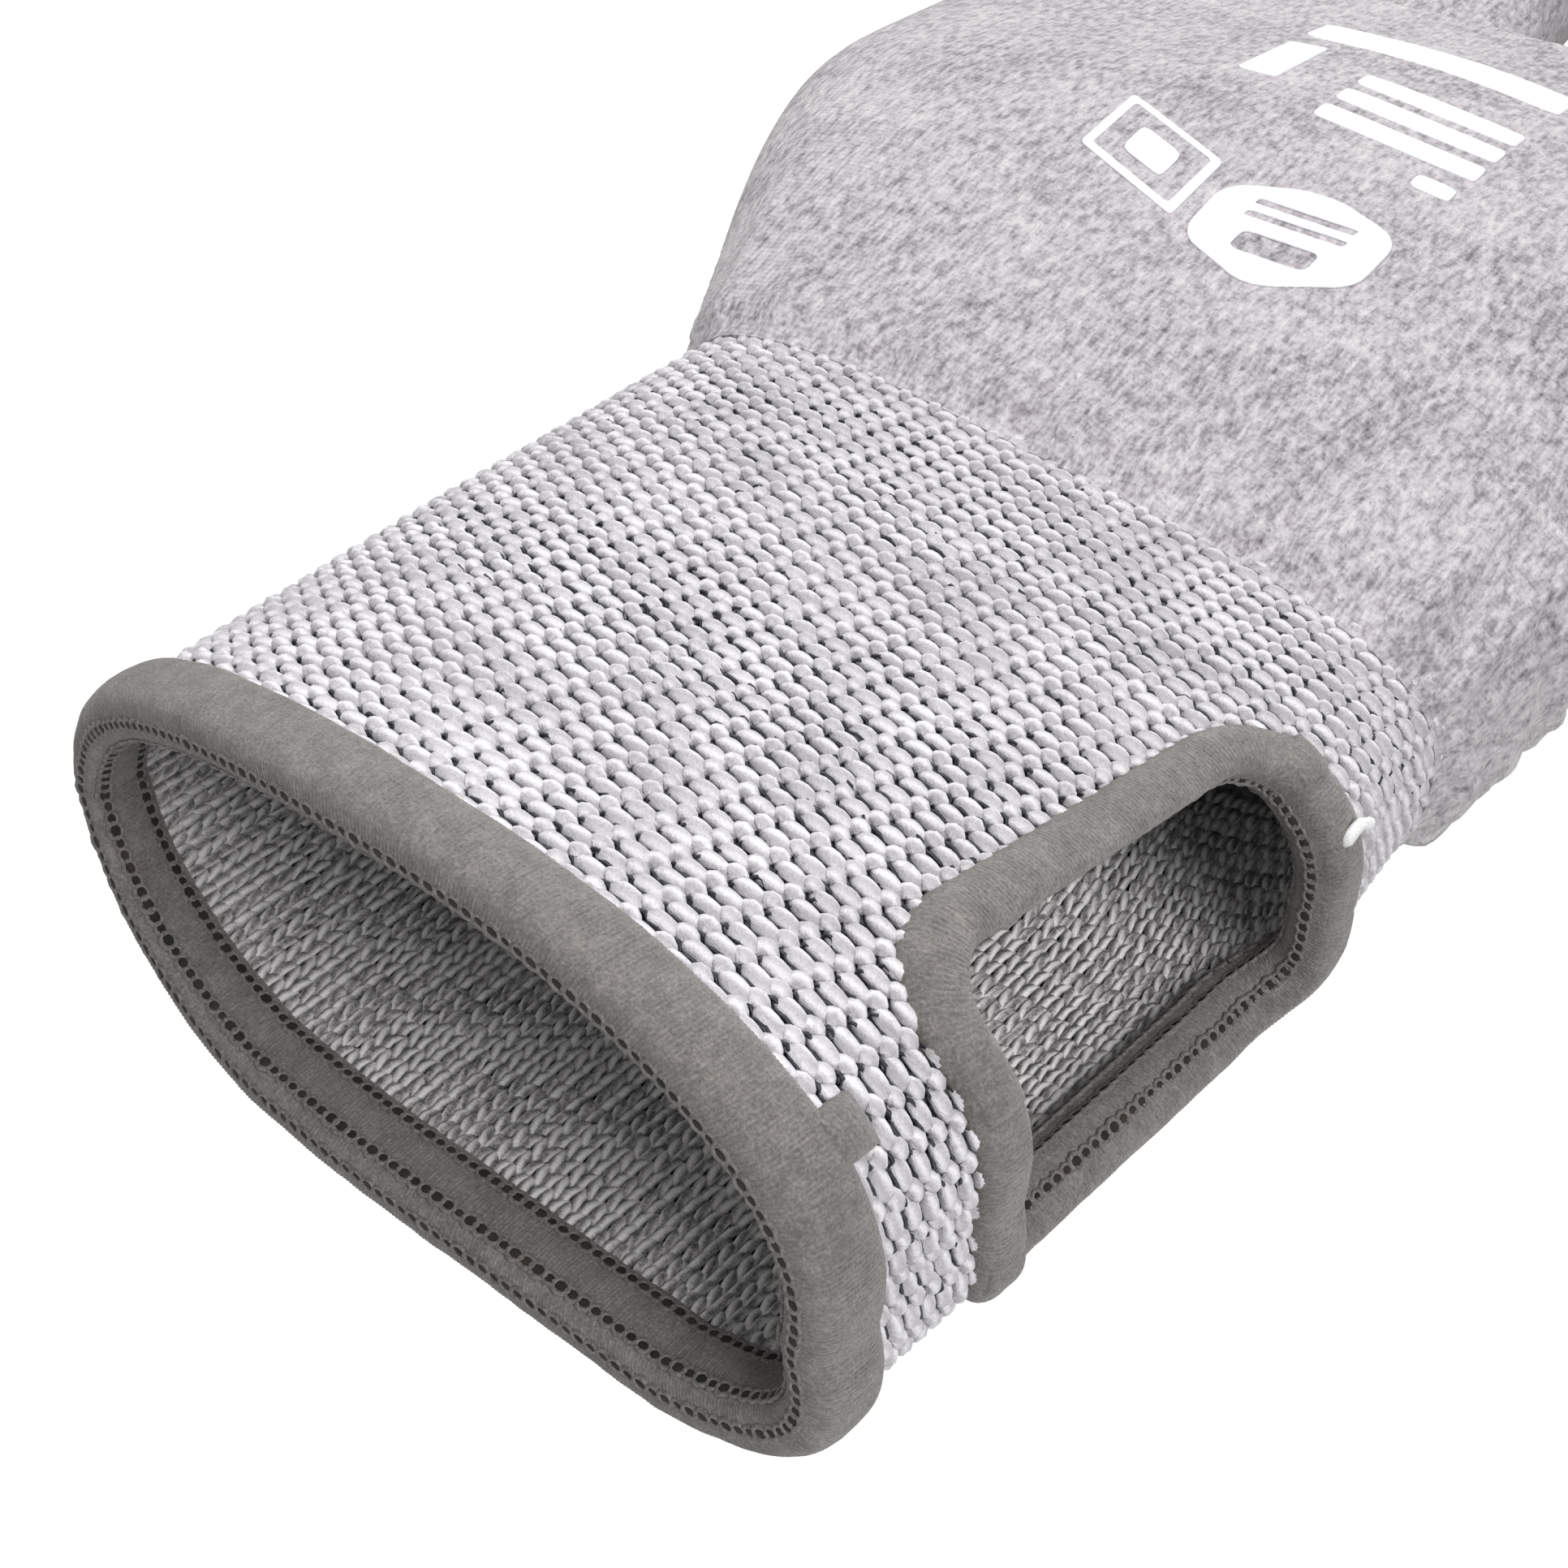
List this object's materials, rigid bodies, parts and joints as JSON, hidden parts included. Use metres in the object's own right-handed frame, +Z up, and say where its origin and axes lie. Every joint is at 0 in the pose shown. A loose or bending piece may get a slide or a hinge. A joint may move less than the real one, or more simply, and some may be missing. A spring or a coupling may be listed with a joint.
{
  "type": "cut resistant glove",
  "caption": "Seamless knitted work glove lying palm down, with an overlocked open cuff, a bound window in the cuff's side, and four fingers and a thumb that bend.",
  "frame": {"origin": "on the table, under the middle of the cuff's mouth", "axes": "+Y from the cuff's mouth to the fingertips, +X towards the thumb side, +Z up from the palm to the back of the hand"},
  "size_m": [0.1656, 0.2465, 0.0338],
  "materials": {
    "cuff_yarn": "fluffy light grey yarn, ribbed knit",
    "dark_thread": "dark grey sewing and plating thread",
    "binding_thread": "satin grey overlock thread",
    "hand_knit": "fine heather knit",
    "stitch_thread": "grey stitching thread",
    "white_thread": "loose white thread end",
    "transfer_print": "matt white heat transfer"
  },
  "bodies": {
    "hand": {"wrist_knit": "hand_knit", "hand_knit": "hand_knit", "thumb_gusset_knit": "hand_knit", "crotch_stitches": "stitch_thread", "print_badge": "transfer_print", "print_frame": "transfer_print", "print_bars": "transfer_print", "index_knuckle_knit": "hand_knit", "middle_knuckle_knit": "hand_knit", "ring_knuckle_knit": "hand_knit", "little_knuckle_knit": "hand_knit", "thumb_knuckle_knit": "hand_knit"},
    "cuff": {"cuff_knit": "cuff_yarn", "cuff_elastic_yarns": "dark_thread", "mouth_binding": "binding_thread", "mouth_chain_threads": "dark_thread", "mouth_tack": "binding_thread", "window_binding": "binding_thread", "window_chain_threads": "dark_thread", "window_binding_joins": "binding_thread", "thread_tail": "white_thread"},
    "index_lower": {"index_finger_knit": "hand_knit", "index_joint_knit": "hand_knit"},
    "index_tip": {"index_tip_knit": "hand_knit", "index_tip_closure": "stitch_thread"},
    "middle_lower": {"middle_finger_knit": "hand_knit", "middle_joint_knit": "hand_knit"},
    "middle_tip": {"middle_tip_knit": "hand_knit", "middle_tip_closure": "stitch_thread"},
    "ring_lower": {"ring_finger_knit": "hand_knit", "ring_joint_knit": "hand_knit"},
    "ring_tip": {"ring_tip_knit": "hand_knit", "ring_tip_closure": "stitch_thread"},
    "little_lower": {"little_finger_knit": "hand_knit", "little_joint_knit": "hand_knit"},
    "little_tip": {"little_tip_knit": "hand_knit", "little_tip_closure": "stitch_thread"},
    "thumb_lower": {"thumb_finger_knit": "hand_knit", "thumb_joint_knit": "hand_knit"},
    "thumb_tip": {"thumb_tip_knit": "hand_knit", "thumb_tip_closure": "stitch_thread"}
  },
  "joints": [
    {"name": "wrist_bend", "type": "hinge", "parent": "hand", "child": "cuff", "pos_m": [0, 0.074, 0.013], "axis": [1, 0, 0], "range_deg": [-30, 30], "deforming": ["wrist_knit"]},
    {"name": "index_knuckle_bend", "type": "hinge", "parent": "hand", "child": "index_lower", "pos_m": [0.01753, 0.17743, 0.008], "axis": [-0.9954, -0.0958, 0], "range_deg": [0, 80], "deforming": ["index_knuckle_knit"]},
    {"name": "index_tip_bend", "type": "hinge", "parent": "index_lower", "child": "index_tip", "pos_m": [0.01428, 0.2112, 0.008], "axis": [-0.9954, -0.0958, 0], "range_deg": [0, 80], "deforming": ["index_joint_knit"]},
    {"name": "middle_knuckle_bend", "type": "hinge", "parent": "hand", "child": "middle_lower", "pos_m": [-0.00742, 0.17231, 0.008], "axis": [-0.9877, -0.1564, 0], "range_deg": [0, 80], "deforming": ["middle_knuckle_knit"]},
    {"name": "middle_tip_bend", "type": "hinge", "parent": "middle_lower", "child": "middle_tip", "pos_m": [-0.01343, 0.21024, 0.008], "axis": [-0.9877, -0.1564, 0], "range_deg": [0, 80], "deforming": ["middle_joint_knit"]},
    {"name": "ring_knuckle_bend", "type": "hinge", "parent": "hand", "child": "ring_lower", "pos_m": [-0.03254, 0.16819, 0.008], "axis": [-0.9763, -0.2164, 0], "range_deg": [0, 80], "deforming": ["ring_knuckle_knit"]},
    {"name": "ring_tip_bend", "type": "hinge", "parent": "ring_lower", "child": "ring_tip", "pos_m": [-0.04013, 0.20241, 0.008], "axis": [-0.9763, -0.2164, 0], "range_deg": [0, 80], "deforming": ["ring_joint_knit"]},
    {"name": "little_knuckle_bend", "type": "hinge", "parent": "hand", "child": "little_lower", "pos_m": [-0.0579, 0.16462, 0.008], "axis": [-0.9563, -0.2924, 0], "range_deg": [0, 80], "deforming": ["little_knuckle_knit"]},
    {"name": "little_tip_bend", "type": "hinge", "parent": "little_lower", "child": "little_tip", "pos_m": [-0.06553, 0.18957, 0.008], "axis": [-0.9563, -0.2924, 0], "range_deg": [0, 80], "deforming": ["little_joint_knit"]},
    {"name": "thumb_knuckle_bend", "type": "hinge", "parent": "hand", "child": "thumb_lower", "pos_m": [0.05434, 0.13966, 0.00875], "axis": [-0.8829, 0.4695, 0], "range_deg": [0, 50], "deforming": ["thumb_knuckle_knit"]},
    {"name": "thumb_tip_bend", "type": "hinge", "parent": "thumb_lower", "child": "thumb_tip", "pos_m": [0.06559, 0.16082, 0.00875], "axis": [-0.8829, 0.4695, 0], "range_deg": [0, 70], "deforming": ["thumb_joint_knit"]}
  ]
}
